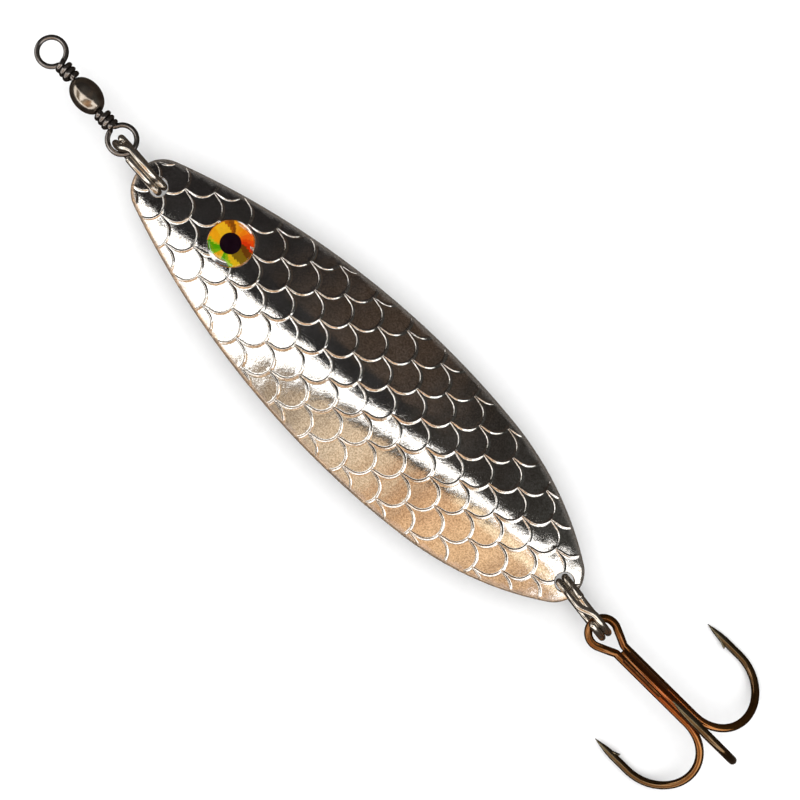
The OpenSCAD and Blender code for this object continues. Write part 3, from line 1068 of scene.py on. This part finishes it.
def mirrored_at(x, y, height):
    """Where the camera's view, mirrored by the blade at (x, y), meets a level plane."""
    lean_x = 2 * x / BOW_R + (x - CAMERA_X) / CAMERA_H
    lean_y = 2 * math.asin(y / CROSS_R) + (y - CAMERA_Y) / CAMERA_H
    return MIDDLE + [x + height * math.tan(lean_x), y + height * math.tan(lean_y), height]


def card(name, height, columns, strength=1.0):
    """A level card that only reflections see, as a photographer's flags and reflectors are.

    Each column is (x, near y, far y, colour), where x and y are the place on the blade that
    mirrors the card's edge."""
    corners = [mirrored_at(x, y, height) for x, near, far, _ in columns for y in (near, far)]
    faces = [(2 * i, 2 * i + 2, 2 * i + 3, 2 * i + 1) for i in range(len(columns) - 1)]
    mesh = bpy.data.meshes.new(name)
    mesh.from_pydata((np.array(corners) * MM).tolist(), [], faces)
    layer = mesh.attributes.new("tint", "FLOAT_COLOR", "POINT")
    colours = [(*c, 1) for *_, c in columns for _ in range(2)]
    layer.data.foreach_set("color", np.array(colours).ravel())
    m, tree, shader = material(name)
    shader.inputs["Base Color"].default_value = (0, 0, 0, 1)
    shader.inputs["Specular IOR Level"].default_value = 0.0
    shader.inputs["Emission Strength"].default_value = strength
    link(tree, attribute(tree, "tint").outputs["Color"], shader.inputs["Emission Color"])
    mesh.materials.append(m)
    o = bpy.data.objects.new(name, mesh)
    bpy.context.scene.collection.objects.link(o)
    o.visible_camera = False
    o.visible_diffuse = False
    o.visible_shadow = False
    o.visible_transmission = False


# The cards' borders and ends, as places along and across the blade that mirror them
ROOM_END, BACK, FRONT = 120, 14, -14
DARK_EDGE = [
    (-ROOM_END, -6.0),
    (-32, -2.9),
    (-28, -2.4),
    (-20, -1.7),
    (-15, -1.6),
    (-5, -1.4),
    (5, -0.9),
    (10, -0.1),
    (15, 0.5),
    (25, 0.75),
    (30, 1.2),
    (40, 2.0),
    (ROOM_END, 7.0),
]
WOOD_EDGE = [
    (-ROOM_END, FRONT),
    (-84, FRONT),
    (-80, -5.0),
    (-45, -5.0),
    (-42, -13.0),
    (-22, -11.0),
    (-15, -9.5),
    (-10, -6.0),
    (-5, -4.6),
    (0, -3.3),
    (5, -2.7),
    (10, -1.9),
    (15, -1.5),
    (20, -0.8),
    (25, -0.3),
    (37, 0.2),
    (39, -5.0),
    (75, -5.0),
    (79, FRONT),
    (ROOM_END, FRONT),
]
FLAG_W = 3.2
BLIND_FROM, BLIND_TO = 18, 38
BLIND_NEAR, BLIND_FAR = 1.9, 0.6
SILL_W, SILL_LAP = 1.2, 0.1

# The cards' light, and their colours by place along the blade
WINDOW_GLOW = 2.3
WHITE, CREAM = (1, 1, 1), (1.45, 1.15, 0.78)
CEILING_TONES = {
    -120: (0.008, 0.006, 0.006),
    -20: (0.008, 0.006, 0.006),
    -5: (0.058, 0.036, 0.022),
    5: (0.066, 0.043, 0.029),
    15: (0.024, 0.019, 0.015),
    25: (0.022, 0.019, 0.016),
    34: (0.046, 0.046, 0.042),
}
FLAG_TONES = {
    -32: (0.006, 0.005, 0.005),
    5: (0.006, 0.005, 0.006),
    10: (0.026, 0.022, 0.018),
}
WOOD_TONES = {
    -22: (0.36, 0.29, 0.20),
    -5: (0.54, 0.42, 0.30),
    2: (1.00, 0.80, 0.58),
    10: (0.96, 0.72, 0.48),
    15: (0.68, 0.40, 0.22),
    20: (1.00, 0.61, 0.33),
    30: (1.32, 0.92, 0.54),
    37: (0.70, 0.44, 0.26),
    60: (0.60, 0.47, 0.34),
}
SILL_TONES = {
    -12: (0.34, 0.28, 0.22),
    2: (0.14, 0.12, 0.10),
    12: (0.05, 0.045, 0.035),
}


def blended(tones, x):
    """The colour at x along a row of places and their colours."""
    places = list(tones)
    return tuple(np.interp(x, places, [tones[p][k] for p in places]) for k in range(3))


def sill_width(x):
    """The sill is wide up to the blind and only fills the gap behind it from there on."""
    return SILL_W if x < BLIND_FROM else BLIND_FAR


def build_cards():
    """What the polished metal mirrors: a brown ceiling, a white window and warm wood below it.

    A card at a lower height hides those above it."""
    ceiling = [(x, y, BACK, blended(CEILING_TONES, x)) for x, y in DARK_EDGE]
    card("ceiling_flag", 300, ceiling)
    flag = [(x, y, y + FLAG_W, blended(FLAG_TONES, x)) for x, y in DARK_EDGE if -32 <= x <= 15]
    card("camera_flag", 298, flag)
    card("window", 304, [(x, FRONT - 2, BACK, WHITE) for x in (-ROOM_END, ROOM_END)], WINDOW_GLOW)
    card("far_window", 299, [(x, 0, 2.9, WHITE) for x in (34, 44)], WINDOW_GLOW)
    wood = [(x, FRONT, y, blended(WOOD_TONES, x)) for x, y in WOOD_EDGE]
    card("warm_wood", 302, wood)
    edge = [(x, y) for x, y in WOOD_EDGE if -15 <= x <= 30]
    sill = [(x, y - sill_width(x), y + SILL_LAP, blended(SILL_TONES, x)) for x, y in edge]
    card("window_sill", 301, sill)
    edge = [(x, y) for x, y in WOOD_EDGE if BLIND_FROM < x < BLIND_TO]
    card("cream_blind", 300, [(x, y - BLIND_NEAR, y - BLIND_FAR, CREAM) for x, y in edge])


# Floor and room
FLOOR_HALF = 3.0
DARK_ROOM = (0.045, 0.036, 0.03)
LEVEL_LIGHT, OVERHEAD_LIGHT = 0.2, 2.2
LIGHT_FOCUS = 3.0
ROOM_STRENGTH = 1.3


def build_floor():
    """A sheet of white paper under the lure, which mirrors don't see."""
    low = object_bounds()[0].z
    signs = [(-1, -1), (1, -1), (1, 1), (-1, 1)]
    corners = [(FLOOR_HALF * x, FLOOR_HALF * y, low) for x, y in signs]
    mesh = bpy.data.meshes.new("floor")
    mesh.from_pydata(corners, [], [(0, 1, 2, 3)])
    mesh.materials.append(floor_material())
    floor = bpy.data.objects.new("floor", mesh)
    bpy.context.scene.collection.objects.link(floor)
    floor.visible_glossy = False


def light_room():
    """White light, strongest from straight above; mirrors see a dark room in its place."""
    world = bpy.data.worlds.new("studio")
    world.use_nodes = True
    tree = world.node_tree
    ray = add_node(tree, "ShaderNodeLightPath").outputs
    mirrored = math_node(tree, "MULTIPLY", ray["Is Glossy Ray"], ray["Is Reflection Ray"])
    direction = add_node(tree, "ShaderNodeSeparateXYZ")
    link(tree, add_node(tree, "ShaderNodeTexCoord").outputs["Generated"], direction.inputs[0])
    upward = math_node(tree, "MAXIMUM", direction.outputs["Z"])
    overhead = math_node(tree, "POWER", upward, LIGHT_FOCUS)
    light = spread(tree, overhead, LEVEL_LIGHT, OVERHEAD_LIGHT)
    background = tree.nodes["Background"].inputs
    link(tree, mix(tree, mirrored, light, DARK_ROOM), background["Color"])
    background["Strength"].default_value = ROOM_STRENGTH
    bpy.context.scene.world = world


def build_studio():
    """Paper under the lure, light from above, and the cards that its metal mirrors."""
    bpy.context.scene.view_settings.view_transform = "Standard"
    build_floor()
    light_room()
    build_cards()


def add_camera():
    """Straight down over the lure, turned so that the blade runs from upper left to lower right."""
    data = bpy.data.cameras.new("camera")
    data.lens, data.sensor_width = CAMERA_LENS, 36
    data.clip_start, data.clip_end = 0.01, 10
    camera = bpy.data.objects.new("camera", data)
    camera.location = ((MIDDLE + [CAMERA_X, CAMERA_Y, CAMERA_H]) * MM).tolist()
    camera.rotation_euler = (0, 0, math.radians(CAMERA_TURN))
    bpy.context.scene.collection.objects.link(camera)
    bpy.context.scene.camera = camera


# -------- the scene


ring_steel = wire_material("ring_steel", (0.74, 0.68, 0.60), (0.36, 0.32, 0.27), 0.13)
dark_nickel = wire_material("dark_nickel", (0.27, 0.245, 0.225), (0.12, 0.105, 0.098), 0.14)

add_camera()
build_blade(plated_blade_material())
build_eye(foil_material(), dome_material(), pad_material())
build_ring(
    "head_ring",
    "head_split_ring",
    "head_ring",
    ring_steel,
    HEAD_COIL_R,
    HEAD_STEP_AT,
    180 + HEAD_RING_YAW,
    HEAD_RING_AT,
)
build_ring(
    "tail_ring",
    "tail_split_ring",
    "tail_ring",
    ring_steel,
    TAIL_COIL_R,
    TAIL_STEP_AT,
    TAIL_RING_YAW,
    TAIL_RING_AT,
)
build_swivel_eye(
    "swivel_eye_lower",
    "swivel_lure_eye",
    "swivel_lower",
    dark_nickel,
    180 + SWIVEL_YAW,
    LURE_EYE_AT,
)
build_swivel_eye(
    "swivel_eye_upper",
    "swivel_line_eye",
    "swivel_upper",
    dark_nickel,
    SWIVEL_YAW,
    (0, 0, 0),
)
build_barrel(barrel_material())
build_treble(bronzed_hook_material(), braze_material())
build_studio()
